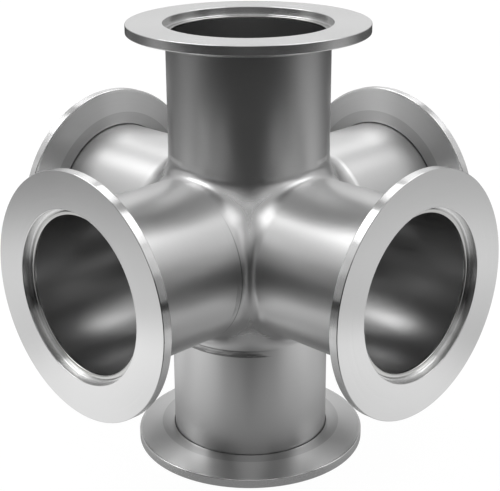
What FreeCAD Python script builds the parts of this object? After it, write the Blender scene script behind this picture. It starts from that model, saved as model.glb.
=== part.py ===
import FreeCAD, Part
import math
import os
import Sketcher
from FreeCAD import Placement, Rotation, Vector

# Six-way cross for vacuum pipework: a hollow centre body with six equal arms.
# The origin is the point where the three bores meet. +Z is up and the cross stands on its bottom flange.
# Arms are named right +X, left -X, front -Y, back +Y, top +Z and bottom -Z.

# Driving dimensions in millimetres, the angle in degrees
DRIVING = {
    "centre_to_face": 70.0,      # middle of the cross to each flange face
    "tube_diameter": 50.8,       # outside of tubes and necks
    "wall_thickness": 1.5,       # tubes and body
    "crotch_radius": 2.8,        # tightest radius between two neighbouring necks
    "seam_width": 2.4,           # butt weld from neck to tube
    "seam_crown": 0.05,          # how far the ground seam stands proud outside
    "root_bead": 0.1,            # how far its root stands proud in the bore
    "flange_diameter": 75.0,
    "rim_width": 2.9,            # cylindrical edge of the flange
    "cone_angle": 15.0,          # clamp cone behind the rim, from the flange plane
    "land_width": 4.4,           # flat land round the tube, at the foot of the cone
    "recess_step": 0.65,         # from the socket out to the wall of the centring recess
    "recess_depth": 2.6,         # recess floor below the flange face
    "recess_corner": 0.3,        # corner of the recess floor
    "edge_break": 0.25,          # turned edges
    "slip_clearance": 0.05,      # tube to flange socket, on the radius
    "socket_chamfer": 0.5,       # lead-in at the back of the socket
    "seal_depth": 0.8,           # tube end below the recess floor, filled by the seal weld
    "seal_crown": 0.12,          # crest of the seal weld above the recess floor
    "lip_round": 0.35,           # inner edge of the seal weld
}

# Sizes worked out from the driving dimensions
DERIVED = {
    "tube_radius": "=tube_diameter / 2",
    "bore_radius": "=tube_radius - wall_thickness",
    "neck_end": "=tube_radius + crotch_radius",
    "outer_waist": "=neck_end - tube_radius",
    "outer_shoulder": "=neck_end - tube_radius / sqrt(2)",
    "outer_reach": "=tube_radius / sqrt(2)",
    "outer_ball": "=outer_shoulder * sqrt(2)",
    "inner_waist": "=neck_end - bore_radius",
    "inner_shoulder": "=neck_end - bore_radius / sqrt(2)",
    "inner_reach": "=bore_radius / sqrt(2)",
    "inner_ball": "=inner_shoulder * sqrt(2)",
    "seam_middle": "=neck_end + seam_width / 2",
    "seam_end": "=neck_end + seam_width",
    "seam_crest": "=tube_radius + seam_crown",
    "root_crest": "=bore_radius - root_bead",
    "flange_radius": "=flange_diameter / 2",
    "land_radius": "=tube_radius + land_width",
    "socket_radius": "=tube_radius + slip_clearance",
    "recess_radius": "=socket_radius + recess_step",
    "recess_floor": "=centre_to_face - recess_depth",
    "tube_end": "=recess_floor - seal_depth",
    "rim_back": "=centre_to_face - rim_width",
    "cone_rise": "=tan(cone_angle)",
    "land_distance": "=rim_back - (flange_radius - land_radius) * cone_rise",
    "socket_mouth": "=socket_radius + socket_chamfer",
    "socket_lead": "=land_distance + socket_chamfer",
    "floor_edge": "=recess_radius - recess_corner",
    "recess_foot": "=recess_floor + recess_corner",
    "face_break": "=centre_to_face - edge_break",
    "recess_mouth": "=recess_radius + edge_break",
    "face_edge": "=flange_radius - edge_break",
    "rim_start": "=rim_back + edge_break",
    "cone_break": "=rim_back - edge_break * cone_rise",
    "seal_lip": "=bore_radius + lip_round",
    "seal_middle": "=(socket_radius + seal_lip) / 2",
    "seal_crest": "=recess_floor + seal_crown",
    "lip_foot": "=recess_floor - lip_round",
}

ARMS = {
    "right": Vector(1, 0, 0),
    "left": Vector(-1, 0, 0),
    "front": Vector(0, -1, 0),
    "back": Vector(0, 1, 0),
    "top": Vector(0, 0, 1),
    "bottom": Vector(0, 0, -1),
}

doc = FreeCAD.newDocument("six_way_cross")
sheet = doc.addObject("Spreadsheet::Sheet", "Sizes")
for row, (alias, content) in enumerate(list(DRIVING.items()) + list(DERIVED.items()), start=1):
    sheet.set(f"A{row}", alias)
    sheet.set(f"B{row}", str(content))
    sheet.setAlias(f"B{row}", alias)
doc.recompute()


def size(alias):
    return float(sheet.get(alias))


def bind(item, **sizes):
    for prop, alias in sizes.items():
        item.setExpression(prop, f"Sizes.{alias}")


def fix_point(sketch, geometry, end, across, along):
    # Places one end of a sketch element by its distances from the sketch origin
    for kind, alias in (("DistanceX", across), ("DistanceY", along)):
        index = sketch.addConstraint(Sketcher.Constraint(kind, -1, 1, geometry, end, size(alias)))
        sketch.setExpression(f"Constraints[{index}]", f"Sizes.{alias}")


def draw_outline(sketch, outline):
    # Draws a closed section. Each corner is (across, along), and a third and fourth name, where given,
    # are the crest that an arc from this corner to the next one passes through.
    corners = [Vector(size(corner[0]), size(corner[1]), 0) for corner in outline]
    for index, corner in enumerate(outline):
        start = corners[index]
        finish = corners[(index + 1) % len(corners)]
        if len(corner) == 4:
            crest = Vector(size(corner[2]), size(corner[3]), 0)
            sketch.addGeometry(Part.Arc(start, crest, finish), False)
        else:
            sketch.addGeometry(Part.LineSegment(start, finish), False)
    for index, corner in enumerate(outline):
        if len(corner) == 4:
            mark = sketch.addGeometry(Part.Point(Vector(size(corner[2]), size(corner[3]), 0)), True)
            fix_point(sketch, mark, 1, corner[2], corner[3])
            sketch.addConstraint(Sketcher.Constraint("PointOnObject", mark, 1, index))
    for index in range(len(outline)):
        before = (index - 1) % len(outline)
        joined = Sketcher.Constraint("Coincident", before, end_of(sketch, before, corners[index]),
                                     index, end_of(sketch, index, corners[index]))
        sketch.addConstraint(joined)
        fix_point(sketch, index, end_of(sketch, index, corners[index]), *outline[index][:2])


def end_of(sketch, geometry, corner):
    # An arc always runs anticlockwise, so its first end may be either corner
    return min((1, 2), key=lambda end: sketch.getPoint(geometry, end).distanceToPoint(corner))


def turned_ring(name, direction, outline):
    # A ring turned about its arm, from a section of radius against distance along the arm
    body = doc.addObject("PartDesign::Body", name)
    plane = next(item for item in body.Origin.OriginFeatures if item.Role == "XZ_Plane")
    sketch = body.newObject("Sketcher::SketchObject", f"{name}_section")
    sketch.AttachmentSupport = (plane, [""])
    sketch.MapMode = "FlatFace"
    draw_outline(sketch, outline)
    turning = body.newObject("PartDesign::Revolution", f"{name}_turning")
    turning.Profile = sketch
    turning.ReferenceAxis = (sketch, ["V_Axis"])
    turning.Angle = 360
    body.Tip = turning
    body.Placement = Placement(Vector(0, 0, 0), Rotation(Vector(0, 0, 1), direction))
    return body


def octant(skin):
    # One eighth of the centre body, as solid metal out to the outer or the inner skin. A block is cut by
    # three spools lying along its far edges and a ball at its far corner. Each spool's waist is an arc of
    # the tube's radius, so it runs into both necks without an edge, and the ball meets the three spools
    # the same way.
    block = doc.addObject("Part::Box", f"{skin}_block")
    bind(block, Length="neck_end", Width="neck_end", Height="neck_end")
    section = doc.addObject("Sketcher::SketchObject", f"{skin}_spool_section")
    section.Placement = Placement(Vector(0, 0, 0), Rotation(Vector(1, 0, 0), 90))
    shoulder, reach = size(f"{skin}_shoulder"), size(f"{skin}_reach")
    low, high = Vector(shoulder, -reach, 0), Vector(shoulder, reach, 0)
    waist = Vector(size(f"{skin}_waist"), 0, 0)
    section.addGeometry(Part.LineSegment(Vector(0, -reach, 0), low), False)
    section.addGeometry(Part.Arc(low, waist, high), False)
    section.addGeometry(Part.LineSegment(high, Vector(0, reach, 0)), False)
    section.addGeometry(Part.LineSegment(Vector(0, reach, 0), Vector(0, -reach, 0)), False)
    arc_low, arc_high = end_of(section, 1, low), end_of(section, 1, high)
    for rule in (
        ("Coincident", 0, 2, 1, arc_low),
        ("Coincident", 1, arc_high, 2, 1),
        ("Coincident", 2, 2, 3, 1),
        ("Coincident", 3, 2, 0, 1),
        ("Horizontal", 0),
        ("Horizontal", 2),
        ("PointOnObject", 3, 1, -2),
        ("PointOnObject", 3, 2, -2),
        ("Symmetric", 1, 1, 1, 2, -1),
    ):
        section.addConstraint(Sketcher.Constraint(*rule))
    for kind, alias in (("DistanceX", "shoulder"), ("DistanceY", "reach")):
        rule = Sketcher.Constraint(kind, -1, 1, 1, arc_high, size(f"{skin}_{alias}"))
        index = section.addConstraint(rule)
        section.setExpression(f"Constraints[{index}]", f"Sizes.{skin}_{alias}")
    radius = "tube_radius" if skin == "outer" else "bore_radius"
    index = section.addConstraint(Sketcher.Constraint("Radius", 1, size(radius)))
    section.setExpression(f"Constraints[{index}]", f"Sizes.{radius}")
    cutters = []
    for axis, far in (("x", "yz"), ("y", "xz"), ("z", "xy")):
        spool = doc.addObject("Part::Revolution", f"{skin}_spool_{axis}")
        spool.Source = section
        spool.Axis = Vector(0, 0, 1)
        spool.Angle = 360
        spool.Solid = True
        along = Vector(*[float(letter == axis) for letter in "xyz"])
        spool.Placement = Placement(Vector(0, 0, 0), Rotation(Vector(0, 0, 1), along))
        for letter in far:
            spool.setExpression(f"Placement.Base.{letter}", "Sizes.neck_end")
        cutters.append(spool)
    ball = doc.addObject("Part::Sphere", f"{skin}_corner_ball")
    bind(ball, Radius=f"{skin}_ball")
    for letter in "xyz":
        ball.setExpression(f"Placement.Base.{letter}", "Sizes.neck_end")
    cutters.append(ball)
    for cutter in cutters:
        cut = doc.addObject("Part::Cut", f"{cutter.Name}_cut")
        cut.Base = block
        cut.Tool = cutter
        block = cut
    return block


def mirrored_whole(piece, name):
    # Mirrors an eighth across the three planes through the origin, doubling it each time
    for letter, normal in zip("xyz", (Vector(1, 0, 0), Vector(0, 1, 0), Vector(0, 0, 1))):
        mirror = doc.addObject("Part::Mirroring", f"{name}_mirror_{letter}")
        mirror.Source = piece
        mirror.Normal = normal
        double = doc.addObject("Part::Fuse", f"{name}_double_{letter}")
        double.Base = piece
        double.Tool = mirror
        double.Refine = True
        piece = double
    return piece


def cross_body():
    shell = doc.addObject("Part::Cut", "body_eighth")
    shell.Base = octant("outer")
    shell.Tool = octant("inner")
    whole = mirrored_whole(shell, "body")
    whole.Label = "cross_body"
    return whole


def tube_stub(name, direction):
    return turned_ring(name, direction, [
        ("bore_radius", "seam_end"),
        ("tube_radius", "seam_end"),
        ("tube_radius", "tube_end"),
        ("bore_radius", "tube_end"),
    ])


def body_weld(name, direction):
    # Fills the gap between neck and tube, with a low crown outside and a root bead in the bore
    return turned_ring(name, direction, [
        ("bore_radius", "neck_end"),
        ("tube_radius", "neck_end", "seam_crest", "seam_middle"),
        ("tube_radius", "seam_end"),
        ("bore_radius", "seam_end", "root_crest", "seam_middle"),
    ])


def flange(name, direction):
    # Socket for the tube, centring recess, face, rim, clamp cone and the land round the tube
    return turned_ring(name, direction, [
        ("socket_mouth", "land_distance"),
        ("socket_radius", "socket_lead"),
        ("socket_radius", "recess_floor"),
        ("floor_edge", "recess_floor"),
        ("recess_radius", "recess_foot"),
        ("recess_radius", "face_break"),
        ("recess_mouth", "centre_to_face"),
        ("face_edge", "centre_to_face"),
        ("flange_radius", "face_break"),
        ("flange_radius", "rim_start"),
        ("face_edge", "cone_break"),
        ("land_radius", "land_distance"),
    ])


def flange_weld(name, direction):
    # Closes the tube end against the flange, level with the recess floor
    return turned_ring(name, direction, [
        ("bore_radius", "tube_end"),
        ("socket_radius", "tube_end"),
        ("socket_radius", "recess_floor", "seal_middle", "seal_crest"),
        ("seal_lip", "recess_floor"),
        ("bore_radius", "lip_foot"),
    ])


nodes = {"cross_body": cross_body()}
for arm, direction in ARMS.items():
    nodes[f"tube_{arm}"] = tube_stub(f"tube_{arm}", direction)
    nodes[f"body_weld_{arm}"] = body_weld(f"body_weld_{arm}", direction)
    nodes[f"flange_{arm}"] = flange(f"flange_{arm}", direction)
    nodes[f"flange_weld_{arm}"] = flange_weld(f"flange_weld_{arm}", direction)
doc.recompute()

failed = [item.Name for item in doc.Objects if "Invalid" in item.State or "Error" in item.State]
if failed:
    raise RuntimeError(f"failed objects: {failed}")
for name, node in nodes.items():
    if node.Shape.isNull() or not node.Shape.isValid() or len(node.Shape.Solids) != 1:
        raise RuntimeError(f"{name} is not one valid solid")

# The land must lie where the clamp cone says it does
land = size("rim_back") - (size("flange_radius") - size("land_radius")) * math.tan(
    math.radians(size("cone_angle")))
if abs(land - size("land_distance")) > 1e-6:
    raise RuntimeError("the land does not meet the clamp cone")

os.makedirs("parts", exist_ok=True)
for name, node in nodes.items():
    node.Shape.exportStep(os.path.join("parts", f"{name}.step"))
    print(f"{name}: {node.Shape.Volume:.1f} mm3, {len(node.Shape.Faces)} faces")
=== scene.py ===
import math

import bpy
from mathutils import Matrix, Vector


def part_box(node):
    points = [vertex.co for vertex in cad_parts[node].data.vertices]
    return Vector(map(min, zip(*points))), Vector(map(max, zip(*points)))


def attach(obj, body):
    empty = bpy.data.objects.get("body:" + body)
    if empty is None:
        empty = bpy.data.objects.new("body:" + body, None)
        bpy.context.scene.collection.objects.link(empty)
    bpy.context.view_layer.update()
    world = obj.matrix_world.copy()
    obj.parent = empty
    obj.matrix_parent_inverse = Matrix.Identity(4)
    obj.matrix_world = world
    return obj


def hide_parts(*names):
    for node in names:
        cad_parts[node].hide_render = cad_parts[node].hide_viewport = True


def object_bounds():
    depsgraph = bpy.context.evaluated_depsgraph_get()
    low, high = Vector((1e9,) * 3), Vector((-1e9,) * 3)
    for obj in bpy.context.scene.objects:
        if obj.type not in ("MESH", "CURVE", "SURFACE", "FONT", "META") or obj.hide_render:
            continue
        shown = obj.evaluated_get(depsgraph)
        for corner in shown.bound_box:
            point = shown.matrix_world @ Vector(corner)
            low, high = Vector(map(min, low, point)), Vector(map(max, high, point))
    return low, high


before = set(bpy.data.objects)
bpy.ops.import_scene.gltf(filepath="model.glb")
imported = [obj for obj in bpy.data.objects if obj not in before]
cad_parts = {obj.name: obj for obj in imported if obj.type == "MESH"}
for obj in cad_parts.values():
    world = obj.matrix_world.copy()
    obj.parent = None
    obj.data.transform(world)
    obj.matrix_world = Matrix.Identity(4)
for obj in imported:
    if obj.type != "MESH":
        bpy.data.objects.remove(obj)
cad_low, cad_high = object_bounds()


# Formed centre body
# A thin stainless shell with six short necks drawn out of it, polished to an even satin outside, with
# its bores painted darker as painted shade. The frame's own node has its form, so only the finish is made
# here.
MM = 0.001                  # the sizes of the pieces and of their finish are in millimetres
NECK_RADIUS = 25.4
CROTCH_START = 0.2          # how far outside the necks the crotches start to shine
CROTCH_BRIGHT = 2.5         # how far outside the necks they are buffed bright
STEEL_COLOUR = (0.71, 0.71, 0.71)
TONE_SPREAD = 0.03          # share by which bare steel is lighter or darker in places
BORE_PAINTED_SHADE = 0.65        # painted shade in the bores: share of the outside's lightness
BORE_BLEND = 1.0            # width over which the outside turns to bore
SATIN_ROUGHNESS = 0.35
CROTCH_ROUGHNESS = 0.24
BORE_ROUGHNESS = 0.31
SATIN_ROUGHNESS_SPREAD = 0.015
SATIN_HAZE = 14.0           # size of the faint clouding
WAVE_SIZE = 11.0
BODY_WAVE_DEPTH = 0.005
BELT_LINE_WIDTH = 0.35
BELT_LINE_LENGTH = 9.0
BELT_LINE_DEPTH = 0.0006
PATTERN_MIDDLE = 0.5        # patterns run from 0 to 1


def node(tree, kind, sockets=None, **settings):
    """Adds a shader node. A socket takes a number, a colour or the output of another node."""
    made = tree.nodes.new("ShaderNode" + kind)
    for setting, value in settings.items():
        setattr(made, setting, value)
    for socket, value in (sockets or {}).items():
        if isinstance(value, bpy.types.NodeSocket):
            tree.links.new(value, made.inputs[socket])
        else:
            made.inputs[socket].default_value = value
    return made.outputs


def plus(tree, first, second):
    return node(tree, "Math", {0: first, 1: second}, operation="ADD")[0]


def minus(tree, first, second):
    return node(tree, "Math", {0: first, 1: second}, operation="SUBTRACT")[0]


def times(tree, first, second):
    return node(tree, "Math", {0: first, 1: second}, operation="MULTIPLY")[0]


def larger(tree, first, second):
    return node(tree, "Math", {0: first, 1: second}, operation="MAXIMUM")[0]


def dot(tree, first, second):
    return node(tree, "VectorMath", {0: first, 1: second}, operation="DOT_PRODUCT")["Value"]


def scaled(tree, vector, factor):
    return node(tree, "VectorMath", {0: vector, "Scale": factor}, operation="SCALE")[0]


def between(tree, share, low, high):
    """Turns a share from 0 to 1 into a value from low to high."""
    return node(tree, "MapRange", {"Value": share, "To Min": low, "To Max": high})["Result"]


def fade(tree, value, full, none):
    """1 where the value is past full, easing to 0 where it reaches none."""
    return node(tree, "MapRange", {"Value": value, "From Min": none, "From Max": full},
                interpolation_type="SMOOTHSTEP")["Result"]


def fade_mm(tree, length, full, none):
    """A fade over a length in the model, with full and none in millimetres."""
    return fade(tree, length, full * MM, none * MM)


def raised(tree, height, depth, beneath=None):
    """A bump of that depth in millimetres, on top of another one where given."""
    sockets = {"Height": height, "Strength": 1.0, "Distance": depth * MM}
    if beneath is not None:
        sockets["Normal"] = beneath
    return node(tree, "Bump", sockets)["Normal"]


def cloud(tree, place, size, detail=3.0):
    """Soft cloudy variation with patches of about that size in millimetres."""
    return node(tree, "TexNoise", {"Vector": place, "Scale": 1 / (size * MM), "Detail": detail})["Fac"]


def arm_place(tree, place):
    """Distance along the nearest arm and distance out from its axis, for a place on the piece."""
    sides = node(tree, "VectorMath", {0: place}, operation="ABSOLUTE")[0]
    parts = node(tree, "SeparateXYZ", {0: sides})
    along = larger(tree, larger(tree, parts["X"], parts["Y"]), parts["Z"])
    out_squared = minus(tree, dot(tree, place, place), times(tree, along, along))
    return along, node(tree, "Math", {0: out_squared, 1: 0.5}, operation="POWER")[0]


def polish_lines(tree, place, width, length):
    """Fine lines round the nearest arm, as left by a belt or a lathe tool. Sizes in millimetres."""
    along, out = arm_place(tree, place)
    across = times(tree, plus(tree, along, out), 1 / (width * MM))
    drift = scaled(tree, place, 1 / (length * MM))
    return node(tree, "TexNoise", {"Vector": drift, "W": across, "Scale": 1.0, "Detail": 2.0},
                noise_dimensions="4D")["Fac"]


def steel(name):
    """A bare steel material. Returns it with its tree, its shader and the place on the piece."""
    material = bpy.data.materials.new(name)
    material.use_nodes = True
    tree = material.node_tree
    shader = tree.nodes["Principled BSDF"]
    shader.inputs["Metallic"].default_value = 1
    return material, tree, shader, node(tree, "TexCoord")["Object"]


def satin_steel(name, wave_depth, marks_and_highlights=None):
    """Belt-polished steel: fine lines round the arm, faint clouding and a slight waviness.

    Surfaces that face the middle of the cross are its bores, which are painted darker as painted shade.
    The crotches are buffed brighter, with no lines. The marks and highlights function, where given, is
    for steel that is ground as well and has painted highlights: it gives how light each place is left,
    and adds its own bump to the bump so far.
    """
    material, tree, shader, place = steel(name)
    facing = dot(tree, node(tree, "TexCoord")["Normal"], place)
    bore = fade_mm(tree, facing, -BORE_BLEND, BORE_BLEND)
    haze = cloud(tree, place, SATIN_HAZE)
    _, out = arm_place(tree, place)
    crotch = fade_mm(tree, out, NECK_RADIUS + CROTCH_BRIGHT, NECK_RADIUS + CROTCH_START)
    lined = times(tree, minus(tree, 1.0, bore), minus(tree, 1.0, crotch))
    lines = polish_lines(tree, place, BELT_LINE_WIDTH, BELT_LINE_LENGTH)
    lines = between(tree, lined, PATTERN_MIDDLE, lines)
    mottle = times(tree, plus(tree, haze, lines), 0.5)
    shade = between(tree, mottle, 1 - TONE_SPREAD, 1 + TONE_SPREAD)
    # painted shade: the bores are painted darker than the outside
    shade = times(tree, shade, between(tree, bore, 1.0, BORE_PAINTED_SHADE))
    bump = raised(tree, cloud(tree, place, WAVE_SIZE, detail=1.0), wave_depth)
    # dull marks from the grinder and painted highlights, where they are given
    if marks_and_highlights:
        mark_and_highlight_shade, bump = marks_and_highlights(tree, place, bump)
        shade = times(tree, shade, mark_and_highlight_shade)
    tree.links.new(scaled(tree, STEEL_COLOUR, shade), shader.inputs["Base Color"])
    rough = between(tree, crotch, SATIN_ROUGHNESS, CROTCH_ROUGHNESS)
    rough = between(tree, bore, rough, BORE_ROUGHNESS)
    for pattern in (haze, lines):
        rough = plus(tree, rough, between(tree, pattern, -SATIN_ROUGHNESS_SPREAD, SATIN_ROUGHNESS_SPREAD))
    tree.links.new(rough, shader.inputs["Roughness"])
    tree.links.new(raised(tree, lines, BELT_LINE_DEPTH, bump), shader.inputs["Normal"])
    return material


def dress(piece, material):
    """Gives the whole piece one material."""
    piece.data.materials.clear()
    piece.data.materials.append(material)


dress(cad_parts["cross_body"], satin_steel("body_satin", BODY_WAVE_DEPTH))


# Tube stubs
# Six lengths of thin-walled tube, one butt-welded to each neck, with the same satin finish.
# Each ends in a flange's socket, just below the floor of its recess.
TUBE_RADIUS = NECK_RADIUS
TUBE_WALL = 1.5
TUBE_WAVE_DEPTH = 0.003
AROUND = 256                # corners round each turned piece
ROUND_STEPS = 4             # faces across each rounded corner
SLACK = 0.01                # how far a corner may be from where it is looked for
CREASE = 40                 # degrees between two faces from which their edge stays sharp

# The six arms are alike, so each piece on them is made once, standing on +Z, and copied
ARMS = {
    "right": Vector((1, 0, 0)),
    "left": Vector((-1, 0, 0)),
    "front": Vector((0, -1, 0)),
    "back": Vector((0, 1, 0)),
    "top": Vector((0, 0, 1)),
    "bottom": Vector((0, 0, -1)),
}


def frame_ends(node_name):
    """Lowest and highest place of one of the frame's nodes along +Z, in millimetres."""
    return [round(corner.z / MM, 3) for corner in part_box(node_name)]


def select_circle(ring, radius, height):
    """Selects the edges of one circle of a turned ring, in edit mode."""
    bpy.ops.mesh.select_all(action="DESELECT")
    bpy.ops.mesh.select_mode(type="EDGE")
    bpy.ops.object.mode_set(mode="OBJECT")
    corners = ring.data.vertices
    for edge in ring.data.edges:
        ends = [corners[index].co for index in edge.vertices]
        off_circle = max(abs(end.xy.length - radius * MM) for end in ends)
        off_height = max(abs(end.z - height * MM) for end in ends)
        edge.select = max(off_circle, off_height) < SLACK * MM
    bpy.ops.object.mode_set(mode="EDIT")


def turned_ring(name, outline):
    """Turns a closed outline about +Z, in millimetres.

    Its corners are (radius, distance along, size of the round), and a sharp corner has a round of
    0. The ring is drawn out of a circle corner by corner, closed and then rounded.
    """
    bpy.ops.object.select_all(action="DESELECT")
    radius, height, _ = outline[0]
    bpy.ops.mesh.primitive_circle_add(vertices=AROUND, radius=radius * MM, location=(0, 0, height * MM))
    ring = bpy.context.object
    ring.name = ring.data.name = name
    bpy.ops.object.transform_apply(location=True, rotation=True, scale=True)
    bpy.ops.object.mode_set(mode="EDIT")
    for (from_radius, from_height, _), (to_radius, to_height, _) in zip(outline, outline[1:]):
        rise = (0, 0, (to_height - from_height) * MM)
        bpy.ops.mesh.extrude_region_move(TRANSFORM_OT_translate={"value": rise})
        widen = to_radius / from_radius
        bpy.ops.transform.resize(value=(widen, widen, 1), center_override=(0, 0, 0))
    bpy.ops.mesh.select_all(action="DESELECT")
    bpy.ops.mesh.select_non_manifold()
    bpy.ops.mesh.bridge_edge_loops()
    bpy.ops.mesh.select_all(action="SELECT")
    bpy.ops.mesh.normals_make_consistent(inside=False)
    for radius, height, rounding in outline:
        if rounding:
            select_circle(ring, radius, height)
            bpy.ops.mesh.bevel(offset=rounding * MM, segments=ROUND_STEPS, profile=0.5)
    bpy.ops.object.mode_set(mode="OBJECT")
    return ring


def smooth_ring(ring, crease=CREASE):
    """Shades a ring smooth, with its flats left flat by weighting each normal by face size."""
    bpy.ops.object.shade_smooth_by_angle(angle=math.radians(crease))
    weight = ring.modifiers.new("flat_faces", "WEIGHTED_NORMAL")
    weight.keep_sharp = True
    bpy.ops.object.modifier_apply(modifier=weight.name)


def place_on_arms(pattern, material, node_name):
    """Copies a piece that stands on +Z onto the six arms, where each copy stands for a frame node."""
    bpy.ops.object.select_all(action="DESELECT")
    for arm, direction in ARMS.items():
        bpy.context.view_layer.objects.active = pattern
        pattern.select_set(True)
        bpy.ops.object.duplicate()
        piece = bpy.context.object
        piece.name = piece.data.name = f"{pattern.name}_{arm}"
        piece.rotation_euler = Vector((0, 0, 1)).rotation_difference(direction).to_euler()
        bpy.ops.object.transform_apply(location=True, rotation=True, scale=True)
        dress(piece, material)
        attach(piece, "root")
        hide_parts(f"{node_name}_{arm}")
        bpy.ops.object.select_all(action="DESELECT")
    bpy.data.objects.remove(pattern)


bore_radius = TUBE_RADIUS - TUBE_WALL
seam_end, tube_end = frame_ends("tube_top")
tube_outline = [
    (bore_radius, seam_end, 0),
    (TUBE_RADIUS, seam_end, 0),
    (TUBE_RADIUS, tube_end, 0),
    (bore_radius, tube_end, 0),
]
tube = turned_ring("tube_stub", tube_outline)
smooth_ring(tube)
place_on_arms(tube, satin_steel("tube_satin", TUBE_WAVE_DEPTH), "tube")


# Flanges
# Clamp flanges turned from solid stainless bar: a flat ring face with a centring recess, a thin rim
# and a 15 degree cone behind it for the clamp. The face keeps fine rings from the lathe tool.
FLANGE_RADIUS = 37.5
RIM_WIDTH = 2.9
CONE_ANGLE = 15.0
LAND_RADIUS = 29.8
RECESS_RADIUS = 26.1
RECESS_DEPTH = 2.6
SOCKET_PLAY = 0.05          # gap round the tube in its socket
LEAD_WIDTH = 0.2            # lead-in of the socket, a groove at the tube with painted shade in it
LEAD_DEPTH = 0.9
EDGE_ROUND = 0.25
CUT_EDGE = 0.1              # how far from a corner the finish of one cut starts to change
CUT_BLEND = 0.3             # and how far it runs into the next
FLANGE_COLOUR = (0.8, 0.8, 0.8)
EDGE_PAINTED_HIGHLIGHT = 1.08           # painted highlight: how much lighter the rim and the recess are painted
# painted shade: how light the cone and the land behind it are painted
CONE_PAINTED_SHADE = 0.88
LAND_PAINTED_SHADE = 0.8
# painted shade in the socket's lead-in, as a lightness share
CREVICE_PAINTED_SHADE = 0.15
FACE_ROUGHNESS = 0.2
RECESS_ROUGHNESS = 0.24
CONE_ROUGHNESS = 0.36
TURNED_ROUGHNESS_SPREAD = 0.02
FACE_STREAK = 0.8           # how far the face's rings draw light out into a streak
EDGE_STREAK = 1.0
TURNED_HAZE = 9.0
TOOL_LINE_WIDTH = 0.25
TOOL_LINE_LENGTH = 40.0
TOOL_LINE_DEPTH = 0.0015
EDGE_WAVE_SIZE = 7.0
EDGE_WAVE_DEPTH = 0.02

socket_radius = TUBE_RADIUS + SOCKET_PLAY
lead_radius = socket_radius + LEAD_WIDTH
_, face = frame_ends("flange_top")
recess_floor = face - RECESS_DEPTH
rim_back = face - RIM_WIDTH
land = rim_back - (FLANGE_RADIUS - LAND_RADIUS) * math.tan(math.radians(CONE_ANGLE))
flange_outline = [
    (lead_radius, land, 0),
    (socket_radius, land + LEAD_DEPTH, 0),
    (socket_radius, recess_floor, 0),
    (RECESS_RADIUS, recess_floor, EDGE_ROUND),
    (RECESS_RADIUS, face, EDGE_ROUND),
    (FLANGE_RADIUS, face, EDGE_ROUND),
    (FLANGE_RADIUS, rim_back, EDGE_ROUND),
    (LAND_RADIUS, land, 0),
]
flange = turned_ring("turned_flange", flange_outline)
smooth_ring(flange)


def turned_steel(name):
    """Lathe-turned steel: rings left by the tool, which spread the light across their run.

    The rim and the recess are painted lighter than the face, as painted highlight. The cone and the land
    behind it are painted darker, as painted shade, and the socket's lead-in is a groove with painted
    shade in it.
    """
    material, tree, shader, place = steel(name)
    tree.links.new(place, shader.inputs["Tangent"])
    along, out = arm_place(tree, place)
    recess_edge = RECESS_RADIUS + CUT_EDGE
    lead_end = land + LEAD_DEPTH
    recess = fade_mm(tree, out, recess_edge, recess_edge + CUT_BLEND)
    rim = fade_mm(tree, out, FLANGE_RADIUS - CUT_EDGE, FLANGE_RADIUS - CUT_BLEND)
    edges = plus(tree, recess, rim)
    cone = fade_mm(tree, along, rim_back - CUT_BLEND, rim_back)
    on_land = times(tree, cone, fade_mm(tree, out, LAND_RADIUS - CUT_EDGE, LAND_RADIUS + CUT_EDGE))
    crevice = times(tree, fade_mm(tree, out, lead_radius, lead_radius + CUT_EDGE),
                    fade_mm(tree, along, lead_end, lead_end + CUT_BLEND))
    haze = cloud(tree, place, TURNED_HAZE)
    lines = polish_lines(tree, place, TOOL_LINE_WIDTH, TOOL_LINE_LENGTH)
    shade = between(tree, lines, 1 - TONE_SPREAD, 1 + TONE_SPREAD)
    # painted highlight on the rim and the recess; painted shade on the cone, the land and the socket's
    # lead-in
    for part, lightness in ((edges, EDGE_PAINTED_HIGHLIGHT), (cone, CONE_PAINTED_SHADE), (on_land, LAND_PAINTED_SHADE),
                            (crevice, CREVICE_PAINTED_SHADE)):
        shade = times(tree, shade, between(tree, part, 1.0, lightness))
    tree.links.new(scaled(tree, FLANGE_COLOUR, shade), shader.inputs["Base Color"])
    rough = between(tree, haze, FACE_ROUGHNESS - TURNED_ROUGHNESS_SPREAD,
                    FACE_ROUGHNESS + TURNED_ROUGHNESS_SPREAD)
    for part, roughness in ((recess, RECESS_ROUGHNESS), (cone, CONE_ROUGHNESS)):
        rough = plus(tree, rough, times(tree, part, roughness - FACE_ROUGHNESS))
    tree.links.new(rough, shader.inputs["Roughness"])
    tree.links.new(between(tree, edges, FACE_STREAK, EDGE_STREAK), shader.inputs["Anisotropic"])
    waves = times(tree, cloud(tree, place, EDGE_WAVE_SIZE, detail=1.0), edges)
    bump = raised(tree, lines, TOOL_LINE_DEPTH, raised(tree, waves, EDGE_WAVE_DEPTH))
    tree.links.new(bump, shader.inputs["Normal"])
    return material


place_on_arms(flange, turned_steel("flange_steel"), "flange")


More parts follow.
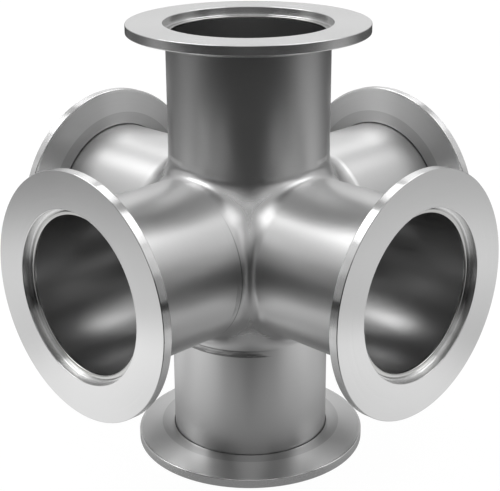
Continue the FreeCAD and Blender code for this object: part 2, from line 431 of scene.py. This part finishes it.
# Butt welds
# The seam that joins each neck to its tube, ground flush outside, with a low bead in the bore. The
# grinder has left fine lines and dull marks, and the seams have painted highlights, on all arms but
# the right and the left.
SEAM_CROWN = 0.02
ROOT_BEAD = 0.04
BEAD_ROUND = 0.9
WELD_CREASE = 60
GRINDER_LINE = 0.35         # from the neck's end to the line
LINE_FULL = 0.08            # how far from its middle the line is full
LINE_END = 0.3              # and where it ends
STREAK_WIDTH = 0.3
STREAK_LENGTH = 4.0
STREAK_LEVELS = (0.6, 0.35)     # of the streak pattern, where a patch is darkest and palest
STREAK_SHARE = 0.35             # darkness that a patch keeps between its streaks
PATCH_EDGE = (-1.0, 0.2)        # past a patch's edge, where it is full and where it ends
PATCH_SPAN = (0.2, 1.4)         # distances from the tube where a patch is darkest and palest
PATCH_SHARES = (0.6, 1.2)       # how dark it is there, palest first
PATCH_TIP = 0.4                 # how dark it is at its tips
MARK_FULL = 0.3                 # share of its reach over which a mark is full
ARM_FADE = 0.5                  # how far before the seam a mark stops
HIGHLIGHT_FULL = 0.2               # how far from the seam's middle a painted highlight is full
DARKEST = 0.35
# how much lighter a painted highlight is painted where it is full
HIGHLIGHT_LIGHTNESS = 1.45
MARK_DEPTH = 0.01
# Arm, middle of each mark, its reach along the seam, then how dark its line and its patch are
DULL_MARKS = [
    ("front", (25, -29.4, -3), 27, 0.8, 0.0),
    ("front", (24.7, -29.6, -6), 8, 0.0, 0.5),
    ("bottom", (10, -23.4, -29.4), 19, 0.7, 1.2),
    ("bottom", (17.3, -18.6, -30.3), 8, 0.0, 0.8),
    ("back", (-20, 29.4, 16), 16, 0.6, 0.5),
    ("top", (3, 25, 29.4), 14, 0.6, 0.3),
]
# Arm, middle and reach of each painted highlight
PAINTED_HIGHLIGHTS = [
    ("top", (-8, -24, 29.4), 6),
    ("top", (24, 8, 29.4), 5),
    ("back", (17, 29.4, 19), 9),
]

_, neck_end = frame_ends("cross_body")
seam_width = seam_end - neck_end
seam_middle = (neck_end + seam_end) / 2
seam_outline = [
    (bore_radius, neck_end, 0),
    (TUBE_RADIUS, neck_end, 0),
    (TUBE_RADIUS + SEAM_CROWN, seam_middle, BEAD_ROUND),
    (TUBE_RADIUS, seam_end, 0),
    (bore_radius, seam_end, 0),
    (bore_radius - ROOT_BEAD, seam_middle, BEAD_ROUND),
]
seam = turned_ring("weld_seam", seam_outline)
smooth_ring(seam, WELD_CREASE)


def distance(tree, first, second):
    return node(tree, "VectorMath", {0: first, 1: second}, operation="DISTANCE")["Value"]


def off_middle(tree, length, middle):
    """How far a length is from a middle that is given in millimetres."""
    return node(tree, "Math", {0: minus(tree, length, middle * MM)}, operation="ABSOLUTE")[0]


def mark_share(tree, place, arm, middle, reach):
    """1 near the middle of a mark, easing to 0 at its reach, on that arm only."""
    near = fade_mm(tree, distance(tree, place, Vector(middle) * MM), MARK_FULL * reach, reach)
    return times(tree, near, fade_mm(tree, dot(tree, place, ARMS[arm]), neck_end, neck_end - ARM_FADE))


def grind_marks_and_highlights(tree, place, bump):
    """What the grinder has left on the seams, fine lines and streaky lens-shaped patches, and painted
    highlights.

    Gives how light each place is, and the bump with the dull marks sunk and the painted highlights proud.
    """
    along, _ = arm_place(tree, place)
    from_tube = minus(tree, seam_end * MM, along)
    line = fade_mm(tree, off_middle(tree, along, neck_end + GRINDER_LINE), LINE_FULL, LINE_END)
    streaks = fade(tree, polish_lines(tree, place, STREAK_WIDTH, STREAK_LENGTH), *STREAK_LEVELS)
    streaky = times(tree, between(tree, fade_mm(tree, from_tube, *PATCH_SPAN), *PATCH_SHARES),
                    between(tree, streaks, STREAK_SHARE, 1.0))
    dull = 0.0
    for arm, middle, reach, line_share, patch_share in DULL_MARKS:
        near = mark_share(tree, place, arm, middle, reach)
        past_edge = minus(tree, from_tube, times(tree, near, seam_width * MM))
        patch = times(tree, fade_mm(tree, past_edge, *PATCH_EDGE), streaky)
        patch = times(tree, patch, between(tree, near, PATCH_TIP, 1.0))
        dull = plus(tree, dull, times(tree, times(tree, near, line), line_share))
        dull = plus(tree, dull, times(tree, patch, patch_share))
    # painted highlights on the seams: painted lighter where the seam catches light
    on_seam = fade_mm(tree, off_middle(tree, along, seam_middle), HIGHLIGHT_FULL, seam_width / 2)
    painted_highlight = 0.0
    for arm, middle, reach in PAINTED_HIGHLIGHTS:
        near = mark_share(tree, place, arm, middle, reach)
        painted_highlight = plus(tree, painted_highlight, times(tree, near, on_seam))
    shade = times(tree, between(tree, dull, 1.0, DARKEST), between(tree, painted_highlight, 1.0, HIGHLIGHT_LIGHTNESS))
    return shade, raised(tree, minus(tree, painted_highlight, dull), MARK_DEPTH, bump)


weld_satin = satin_steel("weld_satin", TUBE_WAVE_DEPTH, grind_marks_and_highlights)
place_on_arms(seam, weld_satin, "body_weld")


# Seal welds
# The tube's end is fused to the flange from inside with no filler, which leaves a bright low bead
# with a rounded inner lip, level with the recess floor.
SEAL_CROWN = 0.1
CROWN_ROUND = 0.1
LIP_ROUND = 0.35
SEAL_COLOUR = (0.66, 0.66, 0.65)
SEAL_DULLNESS = 0.92        # lightness of the bead's duller patches
SEAL_ROUGHNESS = 0.15
SEAL_ROUGHNESS_SPREAD = 0.03
SEAL_HAZE = 5.0
RIPPLE_SIZE = 0.8
RIPPLE_DEPTH = 0.006

seal_lip = bore_radius + LIP_ROUND
seal_span = socket_radius - seal_lip
crown_side = recess_floor + 0.75 * SEAL_CROWN
seal_outline = [
    (bore_radius, tube_end, 0),
    (socket_radius, tube_end, 0),
    (socket_radius, recess_floor, 0),
    (seal_lip + 0.75 * seal_span, crown_side, 0),
    (seal_lip + 0.5 * seal_span, recess_floor + SEAL_CROWN, CROWN_ROUND),
    (seal_lip + 0.25 * seal_span, crown_side, 0),
    (bore_radius, recess_floor, LIP_ROUND),
]
seal = turned_ring("seal_weld", seal_outline)
smooth_ring(seal, WELD_CREASE)


def tint(tree, share, low, high):
    """A colour that goes from low to high with the share."""
    sockets = {"Factor": share, "A": (*low, 1), "B": (*high, 1)}
    return node(tree, "Mix", sockets, data_type="RGBA")["Result"]


def bead_steel(name):
    """Fused bead left as it froze: bright, with fine ripples along its run."""
    material, tree, shader, place = steel(name)
    haze = cloud(tree, place, SEAL_HAZE)
    dull = [channel * SEAL_DULLNESS for channel in SEAL_COLOUR]
    tree.links.new(tint(tree, haze, dull, SEAL_COLOUR), shader.inputs["Base Color"])
    rough = between(tree, haze, SEAL_ROUGHNESS - SEAL_ROUGHNESS_SPREAD,
                    SEAL_ROUGHNESS + SEAL_ROUGHNESS_SPREAD)
    tree.links.new(rough, shader.inputs["Roughness"])
    ripples = cloud(tree, place, RIPPLE_SIZE, detail=1.0)
    tree.links.new(raised(tree, ripples, RIPPLE_DEPTH), shader.inputs["Normal"])
    return material


place_on_arms(seal, bead_steel("seal_steel"), "flange_weld")


# Studio
# A plain pale floor under the cross, which stands on its bottom flange, and a plain soft studio round
# it: soft boxes at both sides, a white sheet behind and the dark room behind the camera.
CAMERA_TURN = 44.897        # degrees from straight in front of the front arm to the camera
FLOOR_SIZE = 8.0            # metres
FLOOR_DROP = 0.01           # millimetres under the cross
FLOOR_COLOUR = (0.06, 0.06, 0.06, 1)
FLOOR_LIFT = 0.97           # share of white that takes no shadow
# Pools of light on the floor beside the cross, which the steel shows: azimuth from the camera's side,
# distance in metres, radius where each starts to fade and where it ends, strength at left and right
FLOOR_POOLS = [
    (90, 0.2, 0.04, 0.2, 0.65, 0.48),
    (90, 0.45, 0.1, 0.35, 0.2, 0.42),
    (30, 0.1, 0.015, 0.055, 0.28, 0.26),
    (62, 0.15, 0.03, 0.08, 0.38, 0.42),
    (62, 0.085, 0.015, 0.05, 0.24, 0.14),
    (95, 0.1, 0.015, 0.055, 0.16, 0.24),
    (130, 0.1, 0.02, 0.065, 0.4, 0.15),
    (0, 0.085, 0.01, 0.05, 0.06, 0.06),
    (0, 0.0, 0.055, 0.09, 0.11, 0.11),
    (150, 0.4, 0.08, 0.28, 0.3, 0.12),
    (180, 0.4, 0.1, 0.4, 0.1, 0.1),
]

bpy.ops.object.select_all(action="DESELECT")
bpy.ops.mesh.primitive_plane_add(size=FLOOR_SIZE, location=(0, 0, cad_low.z - FLOOR_DROP * MM))
floor = bpy.context.object
floor.name = "floor"
bpy.ops.object.transform_apply(location=True, rotation=True, scale=True)


def sine(angle):
    return math.sin(math.radians(angle))


def cosine(angle):
    return math.cos(math.radians(angle))


def towards(azimuth, elevation):
    """Direction at an azimuth from the camera's side, positive to its right, and an elevation."""
    turn = CAMERA_TURN + azimuth
    return Vector((sine(turn) * cosine(elevation), -cosine(turn) * cosine(elevation), sine(elevation)))


def background_share(tree, shown):
    """How far a ray sees the white background: fully from the camera, and in the steel as shown."""
    rays = node(tree, "LightPath")
    mirrored = plus(tree, rays["Is Glossy Ray"], rays["Is Transmission Ray"])
    return plus(tree, rays["Is Camera Ray"], times(tree, mirrored, shown))


paper = bpy.data.materials.new("floor_paper")
paper.use_nodes = True
paper.cycles.emission_sampling = "NONE"
tree = paper.node_tree
tree.nodes.clear()
place = node(tree, "TexCoord")["Object"]
pools = 0.0
for azimuth, reach, inner, outer, left, right in FLOOR_POOLS:
    for side, strength in ((-1, left), (1, right)):
        middle = towards(side * azimuth, 0) * reach
        middle.z = cad_low.z
        glow = fade(tree, distance(tree, place, middle), inner, outer)
        pools = plus(tree, pools, times(tree, strength, glow))
lift = times(tree, FLOOR_LIFT, background_share(tree, pools))
lifted = node(tree, "Emission", {"Strength": lift})[0]
shaded = node(tree, "BsdfDiffuse", {"Color": FLOOR_COLOUR})[0]
both = node(tree, "AddShader", {0: lifted, 1: shaded})[0]
node(tree, "OutputMaterial", {"Surface": both})
floor.data.materials.append(paper)

# Soft boxes: azimuth from the camera's side, elevation, angle from the middle where each starts to
# fade and where it ends, all in degrees, then the strength at left and right
SOFT_BOXES = [
    (90, 60, 15, 17, 2.3, 1.5),
    (117, 50, 9, 10.5, 2.0, 0.9),
    (161, 48, 9, 10.5, 1.6, 1.6),
    (90, 30, 9, 16, 0.4, 0.4),
    (90, 10, 8, 18, 0.42, 0.32),
    (50, 35, 10, 14, 0.0, 0.8),
    (25, 25, 6, 8, 0.0, 0.5),
    (180, 62, 7, 15, 0.35, 0.35),
    (0, 32, 12, 26, 0.1, 0.1),
    (180, 35, 8, 12, 0.08, 0.08),
    (180, 18, 8, 20, 0.17, 0.17),
]
OVERHEAD = 0.48
OVERHEAD_EDGE = (50, 20)    # elevations where it is full and where it ends
SHEET = 0.43
SHEET_SIDE = 20             # degrees past square to the camera that its soft side edge covers
SHEET_TOP = (30, 50)        # elevations where it is full and where it ends

world = bpy.data.worlds.new("studio")
bpy.context.scene.world = world
world.use_nodes = True
world.cycles.sampling_method = "NONE"
tree = world.node_tree
tree.nodes.clear()
gaze = node(tree, "TexCoord")["Generated"]
height = dot(tree, gaze, (0, 0, 1))
light = times(tree, OVERHEAD, fade(tree, height, *map(sine, OVERHEAD_EDGE)))
for azimuth, elevation, inner, outer, left, right in SOFT_BOXES:
    for side, strength in ((-1, left), (1, right)):
        nearness = dot(tree, gaze, towards(side * azimuth, elevation))
        box = fade(tree, nearness, cosine(inner), cosine(outer))
        light = plus(tree, light, times(tree, strength, box))
rearward = dot(tree, gaze, towards(180, 0))
sheet = times(tree, fade(tree, rearward, sine(SHEET_SIDE), sine(-SHEET_SIDE)),
              fade(tree, height, *map(sine, SHEET_TOP)))
unseen = minus(tree, 1.0, node(tree, "LightPath")["Is Camera Ray"])
white = background_share(tree, times(tree, SHEET, sheet))
brightness = plus(tree, times(tree, light, unseen), white)
sky = node(tree, "Background", {"Color": (1, 1, 1, 1), "Strength": brightness})[0]
node(tree, "OutputWorld", {"Surface": sky})


# Camera
# Where the photograph was taken from: off the corner between the right and front arms, looking down
# at the middle of the cross. The shift keeps the photograph's framing, which isn't quite centred.
IMAGE_WIDTH = 500
IMAGE_CENTRE = (250.0, 245.5)       # in pixels
VIEW_CENTRE = (249.452, 237.836)    # pixel that the camera points at
FOCAL_PIXELS = 1249.626
SENSOR_WIDTH = 36.0                 # millimetres
CAMERA_LIFT = 20.15                 # degrees above the level of the cross
CAMERA_ROLL = -0.289
CAMERA_DISTANCE = 0.403134          # metres from the middle of the cross

backward = towards(0, CAMERA_LIFT)
level = towards(90, 0)
upright = backward.cross(level)
across = level * cosine(CAMERA_ROLL) + upright * sine(CAMERA_ROLL)
upward = upright * cosine(CAMERA_ROLL) - level * sine(CAMERA_ROLL)
bpy.ops.object.camera_add()
camera = bpy.context.object
stance = Matrix((across, upward, backward)).transposed().to_4x4()
stance.translation = backward * CAMERA_DISTANCE
camera.matrix_world = stance
camera.data.sensor_width = SENSOR_WIDTH
camera.data.lens = FOCAL_PIXELS / IMAGE_WIDTH * SENSOR_WIDTH
camera.data.shift_x = (IMAGE_CENTRE[0] - VIEW_CENTRE[0]) / IMAGE_WIDTH
camera.data.shift_y = -(IMAGE_CENTRE[1] - VIEW_CENTRE[1]) / IMAGE_WIDTH
bpy.context.scene.camera = camera

bpy.context.scene.view_settings.view_transform = "Standard"
